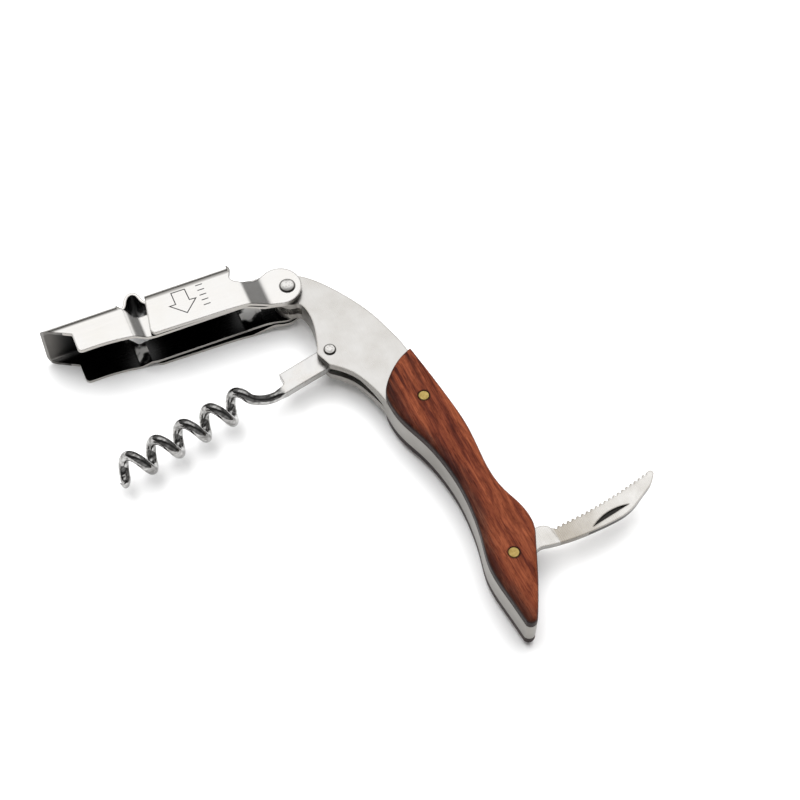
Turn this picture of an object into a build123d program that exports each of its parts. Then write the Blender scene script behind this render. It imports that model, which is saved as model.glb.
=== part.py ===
"""Waiters corkscrew: sheet-metal handle with wood scales, two-step lever, worm and foil knife.

Plan view is XY, thickness is Z. X runs along the handle from the lever rivet to the tip,
-Y is the worm side, +Y the knife side. The tool lies open on its side, on Z = 0.
"""
import math
import os

from build123d import *

os.makedirs("parts", exist_ok=True)

# ---------------------------------------------------------------- driving dimensions (mm)
PIVOT = (-47.63, 1.66)        # lever rivet
MID = 7.4                     # mid-plane height, half the width of the lever box

CHEEK_OUT = 3.15              # half width over the folded frame
CHEEK_T = 1.95                # sheet of the folded frame
CHEEK_IN = CHEEK_OUT - CHEEK_T
WEB_T = 1.2                   # thickness of the frame where it is folded
SCALE_OUT = 6.2               # half width over the wood scales
WOOD_ROUND = 1.2              # rounding of their outer edges

SHEET = 0.9                   # sheet of the levers and their spring
INNER_EAR = 3.2               # inside of the inner lever's ears
INNER_LEG = 5.0               # inside of its legs
OUTER_EAR = 4.15              # inside of the outer lever's ears
BOX = MID - SHEET             # inside half width of the lever box
OUTER_BACK = -10.9            # outside face of the outer lever's web
BOOT_BACK = -10.6             # outside face of the boot's web
BEND_R = 2.4                  # outside radius of the levers' bends
LEVER_ANGLE = -92.3           # lever direction as modelled, open

PIN_R = 1.4                   # brass pins
RIVET_R = 1.4                 # lever rivet shank
WORM_RIVET_R = 1.1
FIT = 0.05                    # radial clearance of a pin in its bore

WORM_PIVOT = (21.4, 2.2)
WORM_ANGLE = -79.8            # worm direction as modelled, open
WIRE_R = 1.3
COIL_R = 3.0                  # wire centre line
COIL_Y = -1.55                # coil axis, off the tang's rivet
COIL_START = 22.9
PITCH = 7.75
TURNS = 5.06
TANG_T = 2.0

KNIFE_PIVOT = (93.1, 16.7)
BLADE_T = 1.6
SCALE_PIN = (45.5, 16.7)
SPRING_PIN = (54.5, 15.8)
TIP_PIN = (105.5, 13.9)
HIDDEN_PIN_R = 0.8            # steel pins covered by the scales

HANDLE = Plane(origin=(PIVOT[0], PIVOT[1], MID))


def turned(point, angle):
    """A plane at a point of the handle, its x axis turned by an angle."""
    a = math.radians(angle)
    return Plane(origin=(PIVOT[0] + point[0], PIVOT[1] + point[1], MID),
                 x_dir=(math.cos(a), math.sin(a), 0), z_dir=(0, 0, 1))


LEVER = turned((0, 0), LEVER_ANGLE)
WORM = turned(WORM_PIVOT, WORM_ANGLE)


def upright(plane, x=0.0, y=0.0):
    """A plane standing on the x axis of a plan plane: its local y is +Z."""
    origin = plane.from_local_coords(Vector(x, y, 0))
    return Plane(origin=origin, x_dir=plane.x_dir, z_dir=-plane.y_dir)


def across(plane, x=0.0):
    """A plane across the x axis of a plan plane: local x is plan y, local y is +Z."""
    origin = plane.from_local_coords(Vector(x, 0, 0))
    return Plane(origin=origin, x_dir=plane.y_dir, z_dir=plane.x_dir)


def save(part, label):
    part.label = label
    export_step(part, f"parts/{label}.step")


def drum(plane, point, radius, low, high, inner=0.0):
    """A round bar or tube between two heights off the mid-plane, as a private solid."""
    place = plane * Pos(point[0], point[1], (low + high) / 2)
    body = place * Cylinder(radius, high - low, mode=Mode.PRIVATE)
    if inner:
        body -= place * Cylinder(inner, high - low + 1, mode=Mode.PRIVATE)
    return body


def strip_outline(centre, thickness, steps):
    """Edges of a bent strip seen edge-on, from its centre line."""
    sides = ([], [])
    for k in range(steps + 1):
        spot, along = centre @ (k / steps), centre % (k / steps)
        for side, sign in zip(sides, (1, -1)):
            side.append((spot.X - sign * along.Y * thickness / 2, spot.Y + sign * along.X * thickness / 2))
    Spline(*sides[0])
    Line(sides[0][-1], sides[1][-1])
    Spline(*reversed(sides[1]))
    Line(sides[1][0], sides[0][0])


# ---------------------------------------------------------------- outlines, handle plan
WOOD_CORNER = (31.0, 20.0)
WOOD_OUTER = [WOOD_CORNER, (40.0, 21.2), (49.0, 22.2), (57.0, 22.7), (64.0, 22.3), (70.5, 21.9),
              (77.0, 22.7), (82.5, 24.4), (87.0, 24.8)]
WOOD_TAIL = [(87.0, 24.8), (91.5, 23.4), (99.5, 19.7), (105.0, 16.9), (109.8, 14.2)]
WOOD_INNER = [(109.6, 11.4), (104.0, 10.9), (98.0, 10.3), (92.5, 10.4), (86.0, 11.9), (78.5, 13.2),
              (71.0, 13.6), (63.0, 12.9), (56.5, 11.5), (49.5, 9.2), (43.0, 8.4)]
WOOD_FRONT = [(43.0, 8.4), (37.4, 10.7), (33.3, 15.2), WOOD_CORNER]


def wood_outline():
    """Edges of one wood scale in plan."""
    Spline(*WOOD_OUTER, tangents=((1, 0.14), (1, -0.05)))
    Spline(*WOOD_TAIL, tangents=((1, -0.05), (1, -0.6)))
    TangentArc((109.8, 14.2), (109.6, 11.4), tangent=(1, -0.6))
    Spline(*WOOD_INNER, tangents=((-1, -0.1), (-1, 0.0)))
    Spline(*WOOD_FRONT, tangents=((-1, 0.0), (-0.35, 1)))


# the frame's edge runs flush with the wood; its head is bare
HEAD_INNER = [(43.0, 8.4), (38.5, 7.9), (34.2, 6.6), (30.1, 4.7), (27.5, 2.6), (25.4, 0.3)]
HEAD_NECK = [(20.0, -0.65), (16.0, 0.8), (12.8, 1.6), (9.0, 1.9), (4.9, 0.3)]
HEAD_OUTER = [(-3.9, 2.4), (-1.6, 5.9), (2.8, 9.5), (8.4, 12.9), (14.1, 15.7), (19.0, 17.4), (24.6, 18.9),
              WOOD_CORNER]


def frame_outline():
    """Edges of the frame in plan: round end, large head, then the strip under the wood."""
    Spline(*WOOD_OUTER, tangents=((1, 0.14), (1, -0.05)))
    Spline(*WOOD_TAIL, tangents=((1, -0.05), (1, -0.6)))
    TangentArc((109.8, 14.2), (109.6, 11.4), tangent=(1, -0.6))
    Spline(*WOOD_INNER, tangents=((-1, -0.1), (-1, 0.0)))
    Spline(*HEAD_INNER, tangents=((-1, 0.0), (-0.65, -0.76)))
    Line(HEAD_INNER[-1], (21.7, -1.0))
    ThreePointArc((21.7, -1.0), (20.8, -1.05), HEAD_NECK[0])
    Spline(*HEAD_NECK, tangents=((-0.9, 0.4), (-0.3, -1)))
    ThreePointArc(HEAD_NECK[-1], (-2.6, -2.9), HEAD_OUTER[0])
    Spline(*HEAD_OUTER, tangents=((0.35, 1), (1, 0.14)))


# ---------------------------------------------------------------- handle frame
# one sheet folded along its worm side: the fold is open only where the worm swings
CHANNEL = [(107.2, 12.5), *[(x, y + WEB_T) for x, y in WOOD_INNER[1:-1]],
           (38.2, 9.1), (34.4, 8.0), (31.2, 6.6)]
NECK_WALL = [(16.4, 2.0), (12.9, 2.9), (9.0, 3.2), (5.8, 2.2)]
# its open end tapers: x and height off the mid-plane
TAPER = [(29.0, CHEEK_IN), (32.0, CHEEK_IN), (36.0, 0.35), (40.5, -0.75), (38.0, -CHEEK_IN),
         (29.0, -CHEEK_IN)]

with BuildPart() as handle_frame:
    with BuildSketch(HANDLE):
        with BuildLine():
            frame_outline()
        make_face()
    extrude(amount=CHEEK_OUT, both=True)
    with BuildSketch(HANDLE):
        with BuildLine():
            Spline(*CHANNEL)
            Polyline(CHANNEL[-1], (32.0, -12.0), (16.4, -12.0), *NECK_WALL, (4.9, -12.0),
                     (-12.0, -12.0), (-12.0, 40.0), (108.6, 40.0), (107.0, 14.5), CHANNEL[0])
        make_face()
    extrude(amount=CHEEK_IN, both=True, mode=Mode.SUBTRACT)
    with BuildSketch(upright(HANDLE)):
        with BuildLine():
            Polyline(*TAPER, close=True)
        make_face()
    extrude(amount=12, both=True, mode=Mode.SUBTRACT)
    add(drum(HANDLE, (0, 0), RIVET_R + FIT, -8, 8), mode=Mode.SUBTRACT)
    add(drum(HANDLE, WORM_PIVOT, WORM_RIVET_R + FIT, -8, 8), mode=Mode.SUBTRACT)
    for pin, radius in ((SCALE_PIN, PIN_R), (KNIFE_PIVOT, PIN_R),
                        (SPRING_PIN, HIDDEN_PIN_R), (TIP_PIN, HIDDEN_PIN_R)):
        add(drum(HANDLE, pin, radius + FIT, -8, 8), mode=Mode.SUBTRACT)
save(handle_frame.part, "handle_frame")

# ---------------------------------------------------------------- wood scales
for side, name in ((1, "scale_top"), (-1, "scale_bottom")):
    with BuildPart() as scale:
        with BuildSketch(HANDLE.offset(side * CHEEK_OUT)):
            with BuildLine():
                wood_outline()
            make_face()
        extrude(amount=side * (SCALE_OUT - CHEEK_OUT))
        outer_face = scale.faces().sort_by(Axis.Z)[-1 if side > 0 else 0]
        fillet(outer_face.edges(), radius=WOOD_ROUND)
        for pin in (SCALE_PIN, KNIFE_PIVOT):
            add(drum(HANDLE, pin, PIN_R + FIT, -8, 8), mode=Mode.SUBTRACT)
    save(scale.part, name)

# ---------------------------------------------------------------- brass pins and hidden pins
for name, pin in (("scale_pin", SCALE_PIN), ("knife_pin", KNIFE_PIVOT)):
    with BuildPart() as brass:
        add(drum(HANDLE, pin, PIN_R, -SCALE_OUT, SCALE_OUT))
        for end in (brass.edges().sort_by(Axis.Z)[-1], brass.edges().sort_by(Axis.Z)[0]):
            fillet(end, radius=0.25)
    save(brass.part, name)

with BuildPart() as pin_bush:
    add(drum(HANDLE, SCALE_PIN, 2.3, -CHEEK_IN, CHEEK_IN, inner=PIN_R + FIT))
save(pin_bush.part, "pin_bush")

with BuildPart() as knife_washers:
    for side in (1, -1):
        mid = side * (BLADE_T / 2 + CHEEK_IN) / 2
        half = (CHEEK_IN - BLADE_T / 2) / 2 - 0.05
        add(drum(HANDLE, KNIFE_PIVOT, 3.2, mid - half, mid + half, inner=PIN_R + FIT))
save(knife_washers.part, "knife_washers")

for name, pin in (("spring_pin", SPRING_PIN), ("tip_pin", TIP_PIN)):
    with BuildPart() as hidden:
        add(drum(HANDLE, pin, HIDDEN_PIN_R, -CHEEK_OUT, CHEEK_OUT))
    save(hidden.part, name)

# ---------------------------------------------------------------- worm spring, a leaf in the channel
LEAF_T = 0.7
LEAF = [(22.4, 5.9), (26.0, 7.1), (31.0, 9.3), (38.0, 11.7), (46.0, 13.1), (57.0, 14.1)]

with BuildPart() as worm_spring:
    with BuildSketch(HANDLE):
        with BuildLine():
            strip_outline(Spline(*LEAF, mode=Mode.PRIVATE), LEAF_T, 14)
        make_face()
    extrude(amount=CHEEK_IN - 0.1, both=True)
save(worm_spring.part, "worm_spring")


# ---------------------------------------------------------------- rivets and the lever bush
def rivet(shank_r, head_r, grip, head_t, dish_r, dish_depth, point):
    """A steel rivet with two heads, each dished in the middle."""
    with BuildPart() as body:
        add(drum(HANDLE, point, shank_r, -grip, grip))
        for end in (1, -1):
            low, high = sorted((end * grip, end * (grip + head_t)))
            add(drum(HANDLE, point, head_r, low, high))
        for end in (1, -1):
            rim = [e for e in body.edges().filter_by(GeomType.CIRCLE)
                   if abs(e.center().Z - MID - end * (grip + head_t)) < 1e-3]
            fillet(rim, radius=head_t * 0.45)
        for end in (1, -1):
            if dish_depth:
                ball = (dish_r ** 2 + dish_depth ** 2) / (2 * dish_depth)
                place = HANDLE * Pos(point[0], point[1],
                                     end * (grip + head_t - dish_depth + ball))
                add(place * Sphere(ball, mode=Mode.PRIVATE), mode=Mode.SUBTRACT)
    return body.part


LEVER_GRIP = OUTER_EAR + SHEET + 0.05
save(rivet(RIVET_R, 2.0, LEVER_GRIP, 0.4, 1.65, 0.22, (0, 0)), "lever_rivet")
save(rivet(WORM_RIVET_R, 1.55, CHEEK_OUT, 0.42, 1.1, 0.12, WORM_PIVOT), "worm_rivet")

with BuildPart() as lever_bush:
    add(drum(HANDLE, (0, 0), 2.6, -CHEEK_IN, CHEEK_IN, inner=RIVET_R + FIT))
save(lever_bush.part, "lever_bush")


# ---------------------------------------------------------------- levers
def joggled_sheet(stations, side, bends):
    """A sheet seen edge-on: (x, inside height) stations, run across the whole lever.

    bends holds the radius of each inside corner between the first and the last station.
    """
    inner = [(x, side * h) for x, h in stations]
    outer = [(x, side * (h + SHEET)) for x, h in reversed(stations)]
    with BuildPart() as sheet:
        with BuildSketch(upright(LEVER)) as profile:
            with BuildLine():
                Polyline(*inner, *outer, close=True)
            make_face()
            for (x, h), radius in zip(stations[1:-1], bends):
                for height, turn in ((h, radius), (h + SHEET, radius + math.copysign(SHEET, radius))):
                    corner = profile.vertices().sort_by_distance((x, side * height, 0))[0]
                    fillet(corner, radius=abs(turn))
        extrude(amount=15, both=True)
    return sheet.part


def box_section(start, end, back):
    """The levers' U section with its rounded bends, along x."""
    with BuildPart() as box:
        with BuildSketch(across(LEVER, start)):
            with Locations((back + 10, 0)):
                outer = Rectangle(20, 2 * MID)
            fillet(outer.vertices().group_by(Axis.X)[0], radius=BEND_R)
        extrude(amount=end - start)
        with BuildSketch(across(LEVER, start)):
            with Locations((back + SHEET + 10, 0)):
                hollow = Rectangle(20, 2 * BOX)
            fillet(hollow.vertices().group_by(Axis.X)[0], radius=BEND_R - SHEET)
        extrude(amount=end - start, mode=Mode.SUBTRACT)
    return box.part


EAR_CENTRE = (1.8, -0.8)
OUTER_EAR_R = 5.6
INNER_EAR_R = 5.3


def on_ear(radius, angle):
    a = math.radians(angle)
    return (EAR_CENTRE[0] + radius * math.cos(a), EAR_CENTRE[1] + radius * math.sin(a))


# outer lever: ears, neck, cap-lifter scoop with its hook, box with the near bottle rest
EAR_TOP, EAR_END, EAR_LOW = (on_ear(OUTER_EAR_R, a) for a in (-70, 180, 70))
OUTER_CORNER = (37.2, 2.1)
outer_blanks = [box_section(11.9, 38.0, OUTER_BACK)]
for side in (1, -1):
    outer_blanks.append(joggled_sheet([(-9, OUTER_EAR), (5.7, OUTER_EAR), (11.2, BOX), (12.8, BOX)], side,
                                      (-3.5, 2.0)))

with BuildPart() as outer_lever:
    add(outer_blanks)
    with BuildSketch(LEVER) as outer_plan:
        with BuildLine():
            Line((13.4, OUTER_BACK), (34.8, OUTER_BACK))
            Line((34.8, OUTER_BACK), OUTER_CORNER)
            Spline(OUTER_CORNER, (31.1, 2.2), (24.0, 2.4), (12.5, 2.9), (7.5, 3.6), EAR_LOW,
                   tangents=((-1, 0.0), (-0.94, 0.34)))
            ThreePointArc(EAR_LOW, EAR_END, EAR_TOP)
            Spline(EAR_TOP, (6.6, -4.6), (9.6, -4.0), (12.0, -5.0), (13.1, -6.9),
                   tangents=((0.94, 0.34), (0.05, -1)))
            Line((13.1, -6.9), (12.2, -8.9))
            ThreePointArc((12.2, -8.9), (12.4, -10.2), (13.4, OUTER_BACK))
        make_face()
        corner = outer_plan.vertices().sort_by_distance((*OUTER_CORNER, 0))[0]
        fillet(corner, radius=1.4)
    extrude(amount=9, both=True, mode=Mode.INTERSECT)
    add(drum(LEVER, (0, 0), RIVET_R + FIT, -9, 9), mode=Mode.SUBTRACT)
save(outer_lever.part, "outer_lever")

# inner lever: ears, two legs inside the outer lever, boot with the far bottle rest
EAR_TOP, EAR_END, EAR_LOW = (on_ear(INNER_EAR_R, a) for a in (-75, 180, 70))
BOOT_CORNER = (55.4, 0.0)
inner_blanks = [box_section(41.4, 63.5, BOOT_BACK)]
for side in (1, -1):
    inner_blanks.append(joggled_sheet([(-9, INNER_EAR), (7.4, INNER_EAR), (12.8, INNER_LEG),
                                       (38.2, INNER_LEG), (41.0, BOX), (42.6, BOX)], side,
                                      (-2.5, 2.5, -1.2, 2.2)))

with BuildPart() as inner_lever:
    add(inner_blanks)
    with BuildSketch(LEVER) as inner_plan:
        with BuildLine():
            Line((43.0, BOOT_BACK), (62.6, BOOT_BACK))
            Line((62.6, BOOT_BACK), (61.8, -9.5))
            Line((61.8, -9.5), (55.4, -5.8))
            Line((55.4, -5.8), BOOT_CORNER)
            Spline(BOOT_CORNER, (50.0, 0.0), (44.7, 0.4), (40.5, 1.1), (36.0, 1.9),
                   tangents=((-1, 0.0), (-1, 0.1)))
            Line((36.0, 1.9), (14.0, 2.1))
            Spline((14.0, 2.1), (8.0, 3.2), EAR_LOW, tangents=((-1, 0.02), (-0.94, 0.34)))
            ThreePointArc(EAR_LOW, EAR_END, EAR_TOP)
            Line(EAR_TOP, (38.5, -5.0))
            Spline((38.5, -5.0), (40.4, -6.7), (43.0, BOOT_BACK), tangents=((1, 0), (0.5, -1)))
        make_face()
        corner = inner_plan.vertices().sort_by_distance((*BOOT_CORNER, 0))[0]
        fillet(corner, radius=1.2)
    extrude(amount=9, both=True, mode=Mode.INTERSECT)
    add(drum(LEVER, (0, 0), RIVET_R + FIT, -9, 9), mode=Mode.SUBTRACT)
save(inner_lever.part, "inner_lever")

# leaf spring between the levers: root in the boot, bulge through the gap, tail under the outer web
STRAP_T = 0.8
STRAP_HALF = 5.0
STRAP = [(50.5, -9.2), (47.5, -9.2), (44.0, -9.2), (42.0, -9.4), (40.7, -10.2), (39.75, -11.9), (38.9, -13.0),
         (37.9, -13.4), (36.9, -13.1), (36.3, -12.2), (36.05, -11.2), (35.7, -10.2), (34.9, -9.4),
         (33.4, -9.25), (29.5, -9.35), (25.5, -9.4), (21.0, -9.4)]

with BuildPart() as lever_spring:
    with BuildSketch(LEVER):
        with BuildLine():
            strip_outline(Spline(*STRAP, mode=Mode.PRIVATE), STRAP_T, 44)
        make_face()
    extrude(amount=STRAP_HALF, both=True)
save(lever_spring.part, "lever_spring")

# ---------------------------------------------------------------- worm
END_TURN = TURNS * 360
TAPER_FROM = END_TURN - 110


def coil_point(angle):
    """Centre of the wire at an angle of turn, 0 on the +y side."""
    a = math.radians(angle)
    return (COIL_START + PITCH * angle / 360, COIL_Y + COIL_R * math.cos(a), COIL_R * math.sin(a))


def coil_direction(angle):
    a = math.radians(angle)
    return (PITCH / (2 * math.pi), -COIL_R * math.sin(a), COIL_R * math.cos(a))


def on_worm(point):
    return WORM.from_local_coords(Vector(*point))


def along_worm(direction):
    return WORM.x_dir * direction[0] + WORM.y_dir * direction[1] + WORM.z_dir * direction[2]


def across_wire(path, at=0):
    """A plane square to the wire."""
    return Plane(origin=path @ at, z_dir=path % at)


COIL_FROM = 90                # angle where the neck has become the coil
NECK = [(17.2, 2.0, 0.0), (19.6, 1.75, 0.3), (21.8, 1.3, 1.2), coil_point(60), coil_point(COIL_FROM)]
first = math.radians(COIL_FROM)
COIL = Plane(origin=on_worm((coil_point(COIL_FROM)[0], COIL_Y, 0)),
             x_dir=along_worm((0, math.cos(first), math.sin(first))), z_dir=WORM.x_dir)
COIL_PATH = COIL * Helix(pitch=PITCH, height=PITCH * (TAPER_FROM - COIL_FROM) / 360, radius=COIL_R)
TIP_STEPS = 5

with BuildPart() as worm:
    with BuildSketch(WORM):
        with BuildLine():
            Line((0.0, -2.5), (13.8, -2.5))
            Line((13.8, -2.5), (14.2, 0.2))
            Line((14.2, 0.2), (15.0, 0.75))
            Line((15.0, 0.75), (15.0, 3.15))
            Line((15.0, 3.15), (12.0, 3.1))
            Line((12.0, 3.1), (1.0, 3.1))
            ThreePointArc((1.0, 3.1), (-2.75, 0.4), (0.0, -2.5))
        make_face()
    extrude(amount=TANG_T / 2, both=True)
    with BuildSketch(across(WORM, 15.0)):
        with Locations((1.95, 0)):
            Rectangle(2.4, TANG_T)
    with BuildSketch(across(WORM, 17.2)):
        with Locations((2.0, 0)):
            Circle(WIRE_R)
    loft()
    with BuildLine() as neck_line:
        Spline(*[on_worm(p) for p in NECK],
               tangents=(along_worm((1, 0, 0)), along_worm(coil_direction(COIL_FROM))))
    with BuildSketch(across_wire(neck_line.line)):
        Circle(WIRE_R)
    sweep(path=neck_line.line)
    with BuildSketch(across_wire(COIL_PATH)):
        Circle(WIRE_R)
    sweep(path=COIL_PATH, is_frenet=True)
    with BuildLine() as tip_line:
        Spline(*[on_worm(coil_point(TAPER_FROM + (END_TURN - TAPER_FROM) * k / TIP_STEPS))
                 for k in range(TIP_STEPS + 1)],
               tangents=(along_worm(coil_direction(TAPER_FROM)), along_worm(coil_direction(END_TURN))))
    with BuildSketch(across_wire(tip_line.line)) as full_wire:
        Circle(WIRE_R)
    with BuildSketch(across_wire(tip_line.line, 1)) as wire_point:
        Circle(0.12)
    sweep(sections=[full_wire.sketch, wire_point.sketch], path=tip_line.line, multisection=True)
    add(drum(WORM, (0, 0), WORM_RIVET_R + FIT, -3, 3), mode=Mode.SUBTRACT)
save(worm.part, "worm")

# ---------------------------------------------------------------- foil knife
KNIFE = turned(KNIFE_PIVOT, 0)
SPINE = [(-7.1, 42.1), (-6.4, 41.8), (-4.7, 40.3), (-2.9, 37.3), (-0.1, 31.6), (0.6, 27.2), (0.75, 23.0),
         (0.65, 17.7), (0.15, 12.5), (-0.4, 9.6), (-0.3, 6.6), (1.4, 3.9), (2.7, 1.9)]
EDGE = [(-4.0, 13.0), (-4.3, 17.6), (-4.6, 22.3), (-5.1, 26.2), (-5.8, 31.1), (-6.7, 35.8), (-7.4, 39.0),
        (-7.85, 41.0)]
TEETH = 21
TOOTH_GAP_R = 0.42
TOOTH_DEPTH = 0.5
GRIND = 4                     # slope of the ground faces, degrees
NICK = ((-0.15, 21.6), (-1.85, 32.5))
NICK_WIDTH = 1.25
NICK_DEPTH = 0.5

with BuildPart() as knife_blade:
    with BuildSketch(KNIFE):
        with BuildLine():
            Spline((-3.2, 0.4), (-4.4, 4.2), (-5.9, 9.4), (-5.3, 11.6), EDGE[0],
                   tangents=((-0.2, 1), (0.7, 1)))
            edge_line = Spline(*EDGE)
            ThreePointArc(EDGE[-1], (-7.65, 41.9), SPINE[0])
            Spline(*SPINE, tangents=((1, 0.0), (0.6, -0.8)))
            ThreePointArc(SPINE[-1], (0.8, -3.2), (-3.2, 0.4))
        make_face()
    extrude(amount=BLADE_T / 2, both=True)
    for side in (1, -1):
        face = side * BLADE_T / 2
        low = face - side * 15 * math.tan(math.radians(GRIND))
        heel = Plane(origin=KNIFE.from_local_coords(Vector(0.9, 12.9, 0)), x_dir=(-1, -0.11, 0),
                     z_dir=(-0.11, 1, 0))
        with BuildSketch(heel):
            with BuildLine():
                Polyline((0, face), (15, low), (15, face + side), (0, face + side), close=True)
            make_face()
        extrude(amount=34, mode=Mode.SUBTRACT)
    for k in range(TEETH):
        at = (k + 0.5) / (TEETH + 0.3)
        spot, along = edge_line @ at, edge_line % at
        reach = TOOTH_GAP_R - TOOTH_DEPTH
        with BuildSketch(KNIFE):
            with Locations((spot.X - along.Y * reach, spot.Y + along.X * reach)):
                Circle(TOOTH_GAP_R)
        extrude(amount=BLADE_T, both=True, mode=Mode.SUBTRACT)
    add(drum(KNIFE, (0, 0), PIN_R + FIT, -3, 3), mode=Mode.SUBTRACT)
    # nail nick: a shallow crescent, straight on the spine's side
    start, end = (KNIFE.from_local_coords(Vector(x, y, BLADE_T / 2 - NICK_DEPTH)) for x, y in NICK)
    half = (end - start).length / 2
    with BuildSketch(Plane(origin=(start + end) / 2, x_dir=(end - start).normalized(), z_dir=(0, 0, 1))):
        with BuildLine():
            Line((-half, 0), (half, 0))
            ThreePointArc((half, 0), (0, NICK_WIDTH), (-half, 0))
        make_face()
    extrude(amount=NICK_DEPTH + 1, mode=Mode.SUBTRACT)
save(knife_blade.part, "knife_blade")
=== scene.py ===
import math

import bmesh
import bpy
from mathutils import Matrix, Vector


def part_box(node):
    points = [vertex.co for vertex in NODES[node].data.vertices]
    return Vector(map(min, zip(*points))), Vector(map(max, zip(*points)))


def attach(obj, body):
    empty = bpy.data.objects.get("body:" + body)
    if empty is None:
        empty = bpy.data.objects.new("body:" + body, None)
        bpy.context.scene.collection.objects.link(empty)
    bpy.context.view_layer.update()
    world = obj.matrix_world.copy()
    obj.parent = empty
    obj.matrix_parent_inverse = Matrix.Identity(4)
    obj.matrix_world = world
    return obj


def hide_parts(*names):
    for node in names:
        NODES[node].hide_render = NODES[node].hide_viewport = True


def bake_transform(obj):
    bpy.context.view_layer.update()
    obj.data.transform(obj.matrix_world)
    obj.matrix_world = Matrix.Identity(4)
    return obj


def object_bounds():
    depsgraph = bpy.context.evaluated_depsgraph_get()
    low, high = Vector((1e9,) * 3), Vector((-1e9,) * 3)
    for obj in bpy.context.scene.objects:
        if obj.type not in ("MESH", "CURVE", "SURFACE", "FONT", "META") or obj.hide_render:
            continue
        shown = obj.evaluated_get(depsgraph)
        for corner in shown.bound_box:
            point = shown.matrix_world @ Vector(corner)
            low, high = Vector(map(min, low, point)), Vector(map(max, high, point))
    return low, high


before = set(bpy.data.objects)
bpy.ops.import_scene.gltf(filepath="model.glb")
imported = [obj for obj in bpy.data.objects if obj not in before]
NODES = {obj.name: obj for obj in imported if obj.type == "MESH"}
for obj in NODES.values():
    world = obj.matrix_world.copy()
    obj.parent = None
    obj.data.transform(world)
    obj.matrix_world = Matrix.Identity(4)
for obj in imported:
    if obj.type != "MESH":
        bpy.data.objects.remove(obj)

MM = 0.001


def plain(box):
    """A box as plain lists."""
    return [[float(v) for v in corner] for corner in box]


CAD_BOX = plain(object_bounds())


def centre(node):
    """The middle of a CAD node's box."""
    low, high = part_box(node)
    return (low + high) / 2


# ---------------------------------------------------------------- places, from the CAD nodes
PIVOT = centre("lever_rivet")
LEVER_ANGLE = math.radians(-92.3)       # the way the levers point, in plan
WORM_ANGLE = math.radians(-79.8)        # the way the worm points
KNIFE_PIN = centre("knife_pin")
SCALE_PIN = centre("scale_pin")
WORM_PIN = centre("worm_rivet")


def turned(point, angle):
    """Matrix from a turned plan frame at a point to the row frame."""
    return Matrix.Translation(point) @ Matrix.Rotation(angle, 4, "Z")


LEVER = turned(PIVOT, LEVER_ANGLE)
WORM = turned(WORM_PIN, WORM_ANGLE)
KNIFE = turned(KNIFE_PIN, 0)


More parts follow.
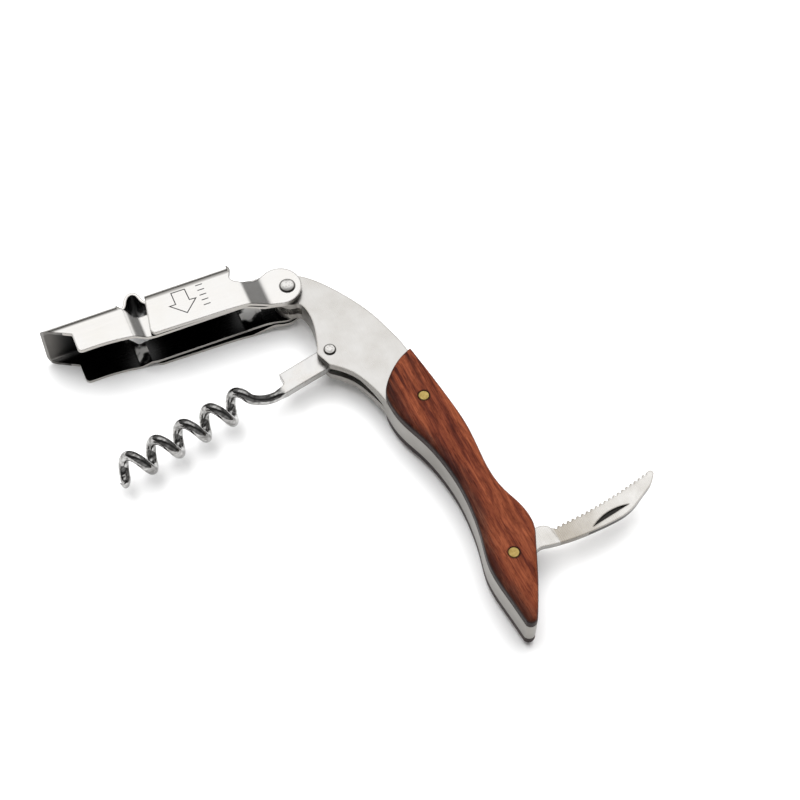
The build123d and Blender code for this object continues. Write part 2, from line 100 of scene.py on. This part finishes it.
# ---------------------------------------------------------------- node material helper
class Nodes:
    """A short way to write a material's node tree."""

    def __init__(self, name):
        self.material = bpy.data.materials.new(name)
        self.material.use_nodes = True
        self.tree = self.material.node_tree
        self.tree.nodes.clear()
        self.out = self.tree.nodes.new("ShaderNodeOutputMaterial")
        self.shader = self.tree.nodes.new("ShaderNodeBsdfPrincipled")
        self.link(self.shader.outputs[0], self.out.inputs[0])

    def link(self, a, b):
        self.tree.links.new(a, b)

    def feed(self, socket, value):
        if isinstance(value, bpy.types.NodeSocket):
            self.link(value, socket)
        else:
            socket.default_value = value

    def node(self, kind, inputs=None, **props):
        n = self.tree.nodes.new("ShaderNode" + kind)
        for key, value in props.items():
            setattr(n, key, value)
        for key, value in (inputs or {}).items():
            self.feed(n.inputs[key], value)
        return n

    def place(self, matrix=None, scale=(1, 1, 1)):
        """Object coordinates in millimetres, in a plan frame, then scaled."""
        coordinates = self.node("TexCoord").outputs["Object"]
        if matrix is not None:
            inverse = matrix.inverted()
            coordinates = self.node("Mapping", {"Vector": coordinates, "Location": inverse.translation,
                                                "Rotation": inverse.to_euler()}).outputs[0]
        return self.node("Mapping", {"Vector": coordinates,
                                     "Scale": tuple(1000 * s for s in scale)}).outputs[0]

    def noise(self, vector, scale=1.0, detail=3.0, rough=0.5, distortion=0.0):
        return self.node("TexNoise", {"Vector": vector, "Scale": scale, "Detail": detail,
                                      "Roughness": rough, "Distortion": distortion}).outputs["Fac"]

    def math(self, operation, a, b=0.5, clamp=False):
        n = self.node("Math", operation=operation, use_clamp=clamp)
        for socket, value in zip(n.inputs, (a, b)):
            self.feed(socket, value)
        return n.outputs[0]

    def add(self, a, b):
        return self.math("ADD", a, b)

    def times(self, first, *others):
        for other in others:
            first = self.math("MULTIPLY", first, other)
        return first

    def above(self, value, limit):
        return self.math("GREATER_THAN", value, limit)

    def below(self, value, limit):
        return self.math("LESS_THAN", value, limit)

    def absolute(self, value):
        return self.math("ABSOLUTE", value)

    def remap(self, value, low, high, to_low=0.0, to_high=1.0):
        """A straight run from one range to another, held at its ends."""
        return self.node("MapRange", {"Value": value, "From Min": low, "From Max": high,
                                      "To Min": to_low, "To Max": to_high}).outputs[0]

    def step(self, value, low, high):
        """A smooth 0 to 1 between two values, or 1 to 0 when low is the larger."""
        return self.node("MapRange", {"Value": value, "From Min": low, "From Max": high},
                         interpolation_type="SMOOTHSTEP").outputs[0]

    def mix(self, factor, a, b, blend="MIX"):
        n = self.node("Mix", data_type="RGBA", blend_type=blend)
        for socket, value in zip((n.inputs[0], n.inputs[6], n.inputs[7]), (factor, a, b)):
            self.feed(socket, value)
        return n.outputs[2]

    def multiply(self, factor, a, b):
        return self.mix(factor, a, b, "MULTIPLY")

    def mix_value(self, factor, a, b):
        n = self.node("Mix")
        for socket, value in zip((n.inputs[0], n.inputs[2], n.inputs[3]), (factor, a, b)):
            self.feed(socket, value)
        return n.outputs[0]

    def ramp(self, value, stops):
        n = self.node("ValToRGB", {"Fac": value})
        elements = n.color_ramp.elements
        for element, (position, colour) in ((elements[0], stops[0]), (elements[1], stops[-1])):
            element.position = position
            element.color = colour
        for position, colour in stops[1:-1]:
            elements.new(position).color = colour
        return n.outputs[0]

    def bump(self, height, strength, distance=0.0001, normal=None):
        inputs = {"Height": height, "Strength": strength, "Distance": distance}
        if normal is not None:
            inputs["Normal"] = normal
        return self.node("Bump", inputs).outputs[0]

    def split(self, vector):
        return self.node("SeparateXYZ", {"Vector": vector}).outputs

    def done(self, **sockets):
        for key, value in sockets.items():
            self.feed(self.shader.inputs[key.replace("_", " ")], value)
        return self.material


def tinted(value, warm=0.0):
    """A neutral metal colour, slightly warm."""
    return (value, value * (1 - 0.4 * warm), value * (1 - warm), 1)


# ---------------------------------------------------------------- shared by the materials
# Places in a material are in millimetres, in the plan frame of the piece. Bevel radii and depths of
# relief are in metres.
ROUNDED = 0.00018             # how far the light catches round a pressed edge
EDGE_SHADE_REACH = 0.0006            # how far the painted shade line along an edge reaches
FINE = 0.00006                # depth of grinding marks
WAVY = 0.0002                 # depth of the waviness of a polished face


def facing(m, angle):
    """The surface normal in a turned plan frame: its x, y and z."""
    normal = m.node("TexCoord").outputs["Normal"]
    turned_normal = m.node("VectorRotate", {"Vector": normal, "Angle": -angle}, rotation_type="Z_AXIS")
    return m.split(turned_normal.outputs[0])


def level(m, angle=0.0):
    """1 on level faces, 0 on upright ones."""
    return m.absolute(facing(m, angle)[2])


def distance_from(m, spot):
    """Distance in mm, in plan, from a point of the row frame."""
    x, y, z = m.split(m.place())
    dx = m.math("SUBTRACT", x, spot.x / MM)
    dy = m.math("SUBTRACT", y, spot.y / MM)
    return m.math("SQRT", m.add(m.times(dx, dx), m.times(dy, dy)))


def ring_shade(m, base, spot, radius, width, amount):
    """Darken a base colour close round a rivet or pin: painted crevice shade together with burn round a
    rivet head, a burnt ring round a brass pin.
    """
    ring = m.remap(distance_from(m, spot), radius, radius + width, amount, 0.0)
    return m.multiply(ring, base, tinted(0.12, 0.2))


def soft_edges(m, radius):
    """The surface normal, rounded over at sharp edges."""
    return m.node("Bevel", {"Radius": radius}, samples=4).outputs[0]


def painted_edge_shade(m):
    """1 close to a sharp edge, where a dark line of painted shade is drawn, 0 on the open faces."""
    normal = m.node("NewGeometry").outputs["Normal"]
    turn = m.node("VectorMath", {0: soft_edges(m, EDGE_SHADE_REACH), 1: normal}, operation="DOT_PRODUCT")
    return m.step(turn.outputs["Value"], 0.997, 0.95)


# ---------------------------------------------------------------- metals
BACK_SHADE_BAND = (-7.9, -8.6)    # y over which the levers' top face is darkened with painted shade as it nears the rear bend
INNER_SHADE_TONE = 0.028             # tone of the channel's inner faces: painted shade


def brushed(name, matrix, angle, tone, along, rough, bump=0.12, mottle=0.05, warm=0.035, edge=0.8,
            inside=None, rivet=None, outline=0.4, painted_back_shade=None):
    """Fine-ground stainless: short scratches along one axis, cloudy patches, duller sheared edges darkened
    with painted shade, and painted shade lines along edges.
    """
    m = Nodes(name)
    place = m.place(matrix)
    line = m.noise(m.place(matrix, along), 1.0, 4.0, 0.6)
    fine = m.noise(m.place(matrix, tuple(3.3 * a for a in along)), 1.0, 2.0, 0.55)
    cloud = m.noise(place, 0.11, 3.0, 0.6)
    scratch = m.add(m.times(line, 0.6), m.times(fine, 0.4))
    base = m.mix(m.remap(cloud, 0.32, 0.68), tinted(tone * (1 - mottle), 1.8 * warm), tinted(tone, warm))
    base = m.multiply(m.remap(scratch, 0.36, 0.62, 0.35, 0.0), base, tinted(0.8))
    up = level(m, angle)
    sheared = m.step(up, 0.55, 0.2)
    # painted shade: upright sheared faces darkened in colour, besides being rougher
    base = m.multiply(sheared, base, tinted(edge, 0.06))
    if rivet is not None:
        # painted crevice shade and burn round the rivet
        base = ring_shade(m, base, *rivet)
    # painted shade on the levers' rear bend and on the strip of top face before it
    if painted_back_shade is not None:
        bend = m.times(m.step(facing(m, angle)[1], -0.03, -0.3), m.step(up, 0.2, 0.4))
        painted_shading_zone = m.times(m.step(m.split(place)[1], *BACK_SHADE_BAND), 0.8)
        base = m.multiply(m.math("MAXIMUM", bend, painted_shading_zone), base, tinted(painted_back_shade, 0.06))
    # painted shade: a dark outline along the top faces' edges
    base = m.multiply(m.times(painted_edge_shade(m), m.above(up, 0.5)), base, tinted(outline, 0.1))
    roughness = m.remap(m.add(m.times(scratch, 0.6), m.times(cloud, 0.4)), 0.35, 0.65, *rough)
    roughness = m.add(roughness, m.times(sheared, 0.1))
    metallic = 1.0
    if inside is not None:
        # painted shade on the inner faces, and painted glints where the metallic value drops
        dark, metallic = inside(m, m.split(place))
        base = m.mix(dark, base, tinted(INNER_SHADE_TONE))
        roughness = m.add(roughness, m.times(dark, 0.06))
    return m.done(Base_Color=base, Metallic=metallic, Roughness=roughness,
                  Normal=m.bump(scratch, bump, FINE, soft_edges(m, ROUNDED)))


WEB_FROM = -7.0               # y beyond which the levers are web, not flange
OPEN_END = (56.0, 61.5)       # x over which the painted shade on the web's inner face lifts toward the lever's end
GLINT_NEAR = (-0.4, -1.8)    # y limits of the painted glint spots in the lower flanges' bends
GLINT_FAR = (-4.4, -3.0)


def lever_inner_shade(m, xyz):
    """The levers' inner faces: how much painted shade they get, and how metallic.

    The painted shade lifts toward the open end, and painted glints, less metallic, sit in the lower
    flanges' bends.
    """
    x, y, z = xyz
    out, across, up = facing(m, LEVER_ANGLE)
    flange = m.below(m.times(m.math("SIGN", z), up), -0.25)
    web = m.times(m.above(across, 0.25), m.below(y, WEB_FROM))
    at_end = m.times(m.step(x, *OPEN_END), web)
    bend = m.times(m.step(m.absolute(out), 0.12, 0.2), flange)
    wander = m.add(y, m.remap(m.noise(m.place(LEVER), 0.25, 2.0, 0.5), 0.3, 0.7, -1.8, 1.8))
    # where the painted glints go in the lower flanges' bends
    painted_shading_zone = m.times(m.step(wander, *GLINT_FAR), m.step(wander, *GLINT_NEAR), m.below(z, 0.0))
    glint = m.times(bend, painted_shading_zone, 0.9)
    lighter = m.math("MAXIMUM", m.times(at_end, 0.5), glint)
    dark = m.math("SUBTRACT", m.math("MAXIMUM", flange, web), lighter, clamp=True)
    return dark, m.math("SUBTRACT", 1.0, glint)


BULGE = (34.6, 42.5)          # x limits of the spring's bulge
BULGE_CENTRE = (38.0, -11.0)


def spring_inner_shade(m, xyz):
    """Painted shade on the leaf spring: inside its bulge, and on its strap's inner face."""
    x, y, z = xyz
    out, across, up = facing(m, LEVER_ANGLE)
    toward_middle = m.add(m.times(out, m.math("SUBTRACT", BULGE_CENTRE[0], x)),
                          m.times(across, m.math("SUBTRACT", BULGE_CENTRE[1], y)))
    bulge = m.times(m.above(x, BULGE[0]), m.below(x, BULGE[1]))
    inner = m.times(m.step(toward_middle, 0.05, 0.3), bulge)
    strap = m.times(m.above(across, -0.2), m.math("SUBTRACT", 1.0, bulge))
    return m.math("MAXIMUM", inner, strap), 1.0


def hidden_metal():
    """Dull machined metal of the pieces inside the channel."""
    m = Nodes("hidden_steel")
    place = m.place()
    wave = m.noise(place, 0.55, 2.0, 0.5)
    speck = m.noise(place, 5.0, 3.0, 0.6)
    base = m.mix(m.step(speck, 0.48, 0.7), tinted(0.4, 0.02), tinted(0.3, 0.03))
    return m.done(Base_Color=base, Metallic=1.0, Roughness=m.remap(speck, 0.35, 0.7, 0.25, 0.4),
                  Normal=m.bump(wave, 0.15, WAVY))


LEVER_RIVET_R = 2.0           # radii of the two rivets' heads
WORM_RIVET_R = 1.55


def riveted():
    """Polished rivet heads: faint handling marks, painted shade round the rim of the head."""
    m = Nodes("rivet_steel")
    wave = m.noise(m.place(), 0.9, 2.0, 0.5)
    speck = m.noise(m.place(), 2.0, 3.0, 0.6)
    base = m.mix(m.step(speck, 0.48, 0.7), tinted(0.62, 0.05), tinted(0.42, 0.08))
    # painted shade round the rim of each head
    past_rims = [m.math("SUBTRACT", distance_from(m, spot), radius)
                 for spot, radius in ((PIVOT, LEVER_RIVET_R), (WORM_PIN, WORM_RIVET_R))]
    base = m.multiply(m.step(m.math("MINIMUM", *past_rims), -0.5, -0.15), base, tinted(0.12, 0.1))
    return m.done(Base_Color=base, Metallic=1.0, Roughness=m.remap(speck, 0.35, 0.7, 0.10, 0.22),
                  Normal=m.bump(wave, 0.15, WAVY))


TANG_END = (16.4, 14.8)       # x where the flat tang turns into wire


def worm_finish():
    """Dark hard chrome on the wire with drawing marks along it; the flat tang is blasted and light."""
    m = Nodes("worm_chrome")
    place = m.place(WORM)
    x, y, z = m.split(place)
    tang = m.step(x, *TANG_END)
    drawn = m.noise(m.place(WORM, (0.5, 1.0, 1.0)), 1.0, 3.0, 0.55, 0.6)
    mottled = m.noise(place, 0.25, 2.0, 0.5)
    wire = m.mix(m.remap(drawn, 0.36, 0.64), tinted(0.16, 0.06), tinted(0.46, 0.03))
    flat = m.mix(m.remap(mottled, 0.35, 0.65), tinted(0.60, 0.08), tinted(0.74, 0.03))
    # painted shade along the tang's edges and on its upright faces
    flat = m.multiply(painted_edge_shade(m), flat, tinted(0.35, 0.1))
    flat = m.multiply(m.step(level(m, WORM_ANGLE), 0.6, 0.3), flat, tinted(0.55))
    roughness = m.mix_value(tang, m.remap(drawn, 0.35, 0.7, 0.05, 0.10),
                            m.remap(mottled, 0.3, 0.7, 0.2, 0.36))
    relief = m.times(drawn, m.math("SUBTRACT", 1.0, m.times(tang, 0.8)))
    return m.done(Base_Color=m.mix(tang, wire, flat), Metallic=1.0, Roughness=roughness,
                  Normal=m.bump(relief, 0.12, 2 * FINE, soft_edges(m, ROUNDED)))


GRIND_STARTS = (12.5, 13.1)   # y where the blade's ground faces start
GRIND_CLEARS = (31.0, 13.0)   # y over which the ground face goes from its full tone to darker
NICK_FROM = 20.0              # the nick lies beyond this y, inside this x, and below this height
NICK_EDGE = -4.2
NICK_TOP = 0.45


def blade_finish():
    """Ground blade: fine marks across the ground faces, darker toward the tang; painted shade along edges,
    on upright faces and in the nail nick.
    """
    m = Nodes("blade_steel")
    place = m.place(KNIFE)
    x, y, z = m.split(place)
    ground = m.step(y, *GRIND_STARTS)
    marks = m.noise(m.place(KNIFE, (0.35, 5.0, 5.0)), 1.0, 3.0, 0.55)
    cloud = m.noise(place, 0.2, 3.0, 0.55)
    base = m.mix(m.remap(cloud, 0.35, 0.65), tinted(0.60, 0.09), tinted(0.70, 0.06))
    base = m.multiply(m.remap(marks, 0.35, 0.65, 0.3, 0.0), base, tinted(0.85))
    base = m.multiply(m.times(ground, m.step(y, *GRIND_CLEARS)), base, tinted(0.66, 0.14))
    # painted shade along the edges and on the upright faces
    base = m.multiply(painted_edge_shade(m), base, tinted(0.5, 0.1))
    base = m.multiply(m.step(level(m), 0.9, 0.6), base, tinted(0.5))
    # painted shade in the nail nick
    nick = m.times(m.below(m.absolute(z), NICK_TOP), m.above(x, NICK_EDGE), m.above(y, NICK_FROM))
    base = m.multiply(nick, base, tinted(0.05))
    return m.done(Base_Color=base, Metallic=1.0, Roughness=m.remap(marks, 0.3, 0.7, 0.2, 0.32),
                  Normal=m.bump(m.times(marks, ground), 0.1, FINE))


HANDLE_STEEL = brushed("handle_steel", None, 0.0, 0.70, (0.3, 2.2, 2.2), (0.24, 0.36), edge=0.46,
                       mottle=0.2, bump=0.03, warm=0.045, outline=0.62, rivet=(WORM_PIN, 1.5, 0.25, 0.8))
LEVER_STEEL = brushed("lever_steel", LEVER, LEVER_ANGLE, 0.74, (0.10, 6.0, 6.0), (0.16, 0.26), bump=0.08,
                      edge=0.62, inside=lever_inner_shade, outline=0.3, painted_back_shade=0.42, rivet=(PIVOT, 1.95, 0.3, 0.9))
SPRING_STEEL = brushed("spring_steel", LEVER, LEVER_ANGLE, 0.8, (4.0, 4.0, 0.3), (0.1, 0.18), edge=1.0,
                       inside=spring_inner_shade)
BLADE_STEEL = blade_finish()
RIVET_STEEL = riveted()
WORM_CHROME = worm_finish()
HIDDEN_STEEL = hidden_metal()


# ---------------------------------------------------------------- rosewood
EDGE_STEPS = 24               # the scales' edge is measured at the ends of this many steps
EDGE_REACH = 0.0025           # how far along x a corner counts for a step, in metres


def worm_side_edge():
    """The scales' worm-side outline, from their mesh: y at even steps along x."""
    corners = [v.co for v in NODES["scale_top"].data.vertices]
    low, high = min(c.x for c in corners), max(c.x for c in corners)
    places = [low + (high - low) * k / EDGE_STEPS for k in range(EDGE_STEPS + 1)]
    return low, high, [min(c.y for c in corners if abs(c.x - x) < EDGE_REACH) for x in places]


EDGE_LOW, EDGE_HIGH, EDGE_LINE = worm_side_edge()


def from_worm_side(m, x, y):
    """Distance in mm, across the handle, from the scales' worm-side edge."""
    along = m.remap(x, EDGE_LOW / MM, EDGE_HIGH / MM)
    base, top = min(EDGE_LINE), max(EDGE_LINE)
    stops = [(k / EDGE_STEPS, ((v - base) / (top - base),) * 3 + (1,)) for k, v in enumerate(EDGE_LINE)]
    edge = m.remap(m.ramp(along, stops), 0.0, 1.0, base / MM, top / MM)
    return m.math("SUBTRACT", y, edge)


WOOD_BANDS = [(0.34, (0.052, 0.012, 0.0075, 1)), (0.42, (0.105, 0.022, 0.012, 1)),
              (0.50, (0.185, 0.045, 0.020, 1)), (0.57, (0.270, 0.075, 0.032, 1)),
              (0.68, (0.150, 0.030, 0.014, 1))]
FIGURE_SHADE = (0.52, 0.42, 0.40, 1)
FIBRE_SHADE = (0.55, 0.46, 0.44, 1)
PORE_SHADE = (0.3, 0.22, 0.2, 1)
WORM_EDGE_TINT = (0.36, 0.5, 0.72, 1)
SIDE_PAINTED_SHADE = (0.34, 0.5, 0.75, 1)
STREAK_SHADE = (0.32, 0.30, 0.36, 1)
TAIL_SHADE = (0.35, 0.4, 0.5, 1)
WORM_EDGE_BAND = (3.8, 0.9)       # distance from the worm-side edge where the wood starts and ends darkening
PIN_RING = (1.42, 0.45, 0.85)  # radius, width and strength of the dark ring round a brass pin
GRAIN_DEEP = 0.00008          # depth of the pores and fibres


def rosewood(name, seed):
    """Oiled reddish wood: growth bands along the handle, dark pores, darker along the worm-side edge,
    painted shade on the upright sides.
    """
    m = Nodes(name)
    place = m.place()
    shift = m.node("Mapping", {"Vector": place, "Location": (seed, seed * 0.7, 0)}).outputs[0]

    def grain(along, across, detail, rough, distortion=0.0):
        stretched = m.node("Mapping", {"Vector": shift, "Scale": (along, across, across)}).outputs[0]
        return m.noise(stretched, 1.0, detail, rough, distortion)

    wander = grain(0.022, 0.16, 4.0, 0.6, 0.5)
    bands = grain(0.03, 0.5, 4.0, 0.62, 0.9)
    fibre = grain(0.3, 3.2, 5.0, 0.7, 0.3)
    pore = m.step(grain(0.5, 6.0, 2.0, 0.5), 0.60, 0.68)
    figure = grain(0.11, 0.4, 5.0, 0.7, 0.9)
    colour = m.ramp(m.add(m.times(wander, 0.45), m.times(bands, 0.55)), WOOD_BANDS)
    colour = m.multiply(m.remap(figure, 0.40, 0.60, 0.8, 0.0), colour, FIGURE_SHADE)
    colour = m.multiply(m.remap(fibre, 0.40, 0.60, 0.8, 0.0), colour, FIBRE_SHADE)
    colour = m.multiply(m.times(pore, 0.7), colour, PORE_SHADE)

    x, y, z = m.split(place)
    edge = m.math("SUBTRACT", from_worm_side(m, x, y), m.remap(figure, 0.35, 0.65, -0.9, 1.1))
    # darker along the worm-side edge
    colour = m.multiply(m.times(m.step(edge, *WORM_EDGE_BAND), 0.9), colour, WORM_EDGE_TINT)
    # painted shade on the upright sides
    colour = m.multiply(m.step(level(m), 0.8, 0.3), colour, SIDE_PAINTED_SHADE)
    front = m.step(x, (SCALE_PIN.x + 0.006) / MM, (SCALE_PIN.x - 0.016) / MM)
    colour = m.multiply(m.times(front, m.step(bands, 0.53, 0.43), 0.85), colour, STREAK_SHADE)
    tail = m.step(x, (KNIFE_PIN.x + 0.012) / MM, (KNIFE_PIN.x + 0.027) / MM)
    colour = m.multiply(m.times(tail, 0.45), colour, TAIL_SHADE)
    for pin in (SCALE_PIN, KNIFE_PIN):
        colour = ring_shade(m, colour, pin, *PIN_RING)
    relief = m.math("SUBTRACT", m.times(fibre, 0.5), pore)
    return m.done(Base_Color=colour, Roughness=m.remap(fibre, 0.3, 0.7, 0.36, 0.52),
                  Normal=m.bump(relief, 0.35, GRAIN_DEEP), Specular_IOR_Level=0.1)


WOOD_TOP = rosewood("rosewood_top", 3.0)
WOOD_BOTTOM = rosewood("rosewood_bottom", 41.0)


# ---------------------------------------------------------------- brass and laser marks
DULL_BRASS = (0.40, 0.28, 0.085, 1)
CLEAN_BRASS = (0.56, 0.42, 0.15, 1)
SHALLOW = 0.00005             # depth of the marks in brass and in the laser lines


def ground_brass():
    """Brass pin ends, ground flush with the wood: fine parallel marks."""
    m = Nodes("ground_brass")
    line = m.noise(m.place(None, (1.0, 7.0, 7.0)), 1.0, 3.0, 0.6)
    patch = m.noise(m.place(), 1.1, 3.0, 0.6)
    colour = m.mix(m.remap(patch, 0.35, 0.65), DULL_BRASS, CLEAN_BRASS)
    colour = m.multiply(m.remap(line, 0.35, 0.65, 0.35, 0.0), colour, tinted(0.75))
    return m.done(Base_Color=colour, Metallic=1.0, Roughness=m.remap(line, 0.3, 0.7, 0.26, 0.42),
                  Normal=m.bump(line, 0.25, SHALLOW))


def etched():
    """Laser mark: burnt, slightly uneven dark line."""
    m = Nodes("etched_mark")
    patch = m.noise(m.place(), 6.0, 3.0, 0.6)
    return m.done(Base_Color=m.mix(patch, tinted(0.012), tinted(0.05)), Metallic=0.3,
                  Roughness=m.remap(patch, 0.3, 0.7, 0.5, 0.8), Normal=m.bump(patch, 0.3, SHALLOW))


BRASS = ground_brass()
ETCHED = etched()

FINISH = {
    "handle_frame": HANDLE_STEEL, "scale_top": WOOD_TOP, "scale_bottom": WOOD_BOTTOM,
    "scale_pin": BRASS, "knife_pin": BRASS, "pin_bush": HIDDEN_STEEL, "knife_washers": HIDDEN_STEEL,
    "spring_pin": HIDDEN_STEEL, "tip_pin": HIDDEN_STEEL, "worm_spring": HIDDEN_STEEL,
    "lever_rivet": RIVET_STEEL, "worm_rivet": RIVET_STEEL, "lever_bush": HIDDEN_STEEL,
    "outer_lever": LEVER_STEEL, "inner_lever": LEVER_STEEL,
    "lever_spring": SPRING_STEEL, "worm": WORM_CHROME, "knife_blade": BLADE_STEEL,
}
for node, material in FINISH.items():
    NODES[node].data.materials.clear()
    NODES[node].data.materials.append(material)


# ---------------------------------------------------------------- leaf spring
def bending_spring():
    """The leaf spring, as a copy of the CAD part's mesh that takes its place.
    """
    rigid = NODES["lever_spring"]
    mesh = rigid.data.copy()
    mesh.transform(rigid.matrix_world)
    spring = bpy.data.objects.new("leaf_spring", mesh)
    bpy.context.scene.collection.objects.link(spring)
    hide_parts("lever_spring")
    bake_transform(spring)


bending_spring()


# ---------------------------------------------------------------- laser marks on the outer lever
LEVER_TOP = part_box("outer_lever")[1].z
MARK_HIGH = 0.00002           # height of a stroke, in metres
MARK_SUNK = 0.000004          # how far a stroke starts below the sheet's face, in metres
STROKE = 0.26                 # width of a stroke, in mm
SHARPEST = 0.35               # least cosine at a corner, which limits how far the mitre sticks out


def stroke_mesh(name, outlines, width):
    """Thin raised lines along outlines in the lever's plan, mitred at their corners."""
    bm = bmesh.new()
    for points, closed in outlines:
        points = [Vector(p) for p in points]
        count = len(points)
        rings = []
        for k, here in enumerate(points):
            before = points[k - 1] if closed or k else None
            after = points[(k + 1) % count] if closed or k + 1 < count else None
            into = (here - before).normalized() if before is not None else (after - here).normalized()
            out = (after - here).normalized() if after is not None else into
            mitre = (into + out).normalized()
            side = Vector((-mitre.y, mitre.x)) * (width / 2 / max(SHARPEST, mitre.dot(into)))
            ring = []
            for sign in (1, -1):
                for height in (0.0, MARK_HIGH):
                    flat = here + sign * side
                    spot = LEVER @ Vector((flat.x * MM, flat.y * MM, 0))
                    ring.append(bm.verts.new((spot.x, spot.y, LEVER_TOP - MARK_SUNK + height)))
            rings.append(ring)
        for k in range(count if closed else count - 1):
            a, b = rings[k], rings[(k + 1) % count]
            for face in ((0, 1), (1, 3), (3, 2), (2, 0)):
                bm.faces.new((a[face[0]], a[face[1]], b[face[1]], b[face[0]]))
        if not closed:
            for ring in (rings[0], rings[-1]):
                bm.faces.new((ring[0], ring[1], ring[3], ring[2]))
    bmesh.ops.recalc_face_normals(bm, faces=bm.faces)
    mesh = bpy.data.meshes.new(name)
    bm.to_mesh(mesh)
    bm.free()
    mark = bpy.data.objects.new(name, mesh)
    bpy.context.scene.collection.objects.link(mark)
    mesh.materials.append(ETCHED)
    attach(mark, "short_lever")


ARROW = [(28.5, -7.8), (24.9, -7.75), (24.8, -4.2), (23.1, -4.05), (26.6, -0.6), (30.1, -4.1), (28.5, -4.1)]
stroke_mesh("arrow_mark", [(ARROW, True)], STROKE)
# a plain row of strokes beside the arrow
BARS = [[(20.2, -7.6 + 1.6 * k), (22.0, -7.6 + 1.6 * k)] for k in range(5)]
stroke_mesh("bar_marks", [(bar, False) for bar in BARS], STROKE)

# ---------------------------------------------------------------- floor, light, camera
EYE = PIVOT + Vector((0.24291, -0.08433, 0.35876))
LOOK_AT = PIVOT + Vector((0.03683, 0.01437, -0.0069))

floor_nodes = Nodes("floor")
floor_nodes.done(Base_Color=(0.96, 0.96, 0.96, 1), Roughness=0.9, Specular_IOR_Level=0.1)
bpy.ops.mesh.primitive_plane_add(size=6.0, location=(0, 0, CAD_BOX[0][2]))
floor = bpy.context.object
floor.name = "floor"
floor.data.materials.append(floor_nodes.material)

AWAY = Vector((LOOK_AT.x - EYE.x, LOOK_AT.y - EYE.y, 0)).normalized()
TOWARD = -AWAY
RIGHT = Vector((AWAY.y, -AWAY.x, 0))

# a large soft lamp overhead, left out of reflections
lamp = bpy.data.lights.new("fill", "AREA")
lamp.shape = "RECTANGLE"
lamp.size, lamp.size_y = 1.1, 1.1
lamp.energy = 14.0
fill = bpy.data.objects.new("fill", lamp)
bpy.context.scene.collection.objects.link(fill)
fill.location = AWAY * 0.25 + Vector((0, 0, 0.8))
fill.rotation_euler = (-fill.location).to_track_quat("-Z", "Y").to_euler()
fill.visible_glossy = False

# the tent round the table: a bright wall high on the far side, dim elsewhere
WALL, WALL_HIGH = 1.17, (0.40, 0.80)       # brightness, and the upward share where it fades in
WALL_SIDE = (0.50, 0.22)                   # where it ends on the right
WALL_FAR = (0.06, 0.28)                    # where it ends overhead
HAZE, HAZE_FAR = 0.2, (0.0, 0.5)           # a dimmer glow low on the far side
NEAR, NEAR_SIDE = 0.28, (0.3, 0.65)        # and one low on the near side
DARKEST = 0.05

world = bpy.data.worlds.new("studio")
world.use_nodes = True
tree = world.node_tree


def world_node(kind, inputs, **props):
    """Add a node to the world's tree: sockets are linked, other values are set."""
    n = tree.nodes.new("ShaderNode" + kind)
    for key, value in props.items():
        setattr(n, key, value)
    for key, value in inputs.items():
        if isinstance(value, bpy.types.NodeSocket):
            tree.links.new(value, n.inputs[key])
        else:
            n.inputs[key].default_value = value
    return n


def toward(direction, low, high):
    """0 to 1 as the tent's wall turns toward a direction."""
    spot = world_node("TexCoord", {}).outputs["Generated"]
    dot = world_node("VectorMath", {0: spot, 1: tuple(direction)}, operation="DOT_PRODUCT").outputs["Value"]
    return world_node("MapRange", {"Value": dot, "From Min": low, "From Max": high},
                      interpolation_type="SMOOTHSTEP").outputs[0]


def times(a, b):
    return world_node("Math", {0: a, 1: b}, operation="MULTIPLY").outputs[0]


def times_plus(a, b, c):
    return world_node("Math", {0: a, 1: b, 2: c}, operation="MULTIPLY_ADD").outputs[0]


wall = times(times(toward((0, 0, 1), *WALL_HIGH), toward(RIGHT, *WALL_SIDE)), toward(AWAY, *WALL_FAR))
haze = times_plus(toward(AWAY, *HAZE_FAR), HAZE, DARKEST)
near = times_plus(toward(TOWARD, *NEAR_SIDE), NEAR, haze)
background = tree.nodes["Background"]
background.inputs[0].default_value = (1, 1, 1, 1)
tree.links.new(times_plus(wall, WALL, near), background.inputs[1])
bpy.context.scene.world = world
bpy.context.scene.view_settings.view_transform = "Standard"

lens = bpy.data.cameras.new("camera")
lens.lens = 76.5
lens.sensor_width = 36
lens.clip_start = 0.01
camera = bpy.data.objects.new("camera", lens)
camera.location = EYE
camera.rotation_euler = (LOOK_AT - EYE).to_track_quat("-Z", "Y").to_euler()
bpy.context.scene.collection.objects.link(camera)
bpy.context.scene.camera = camera
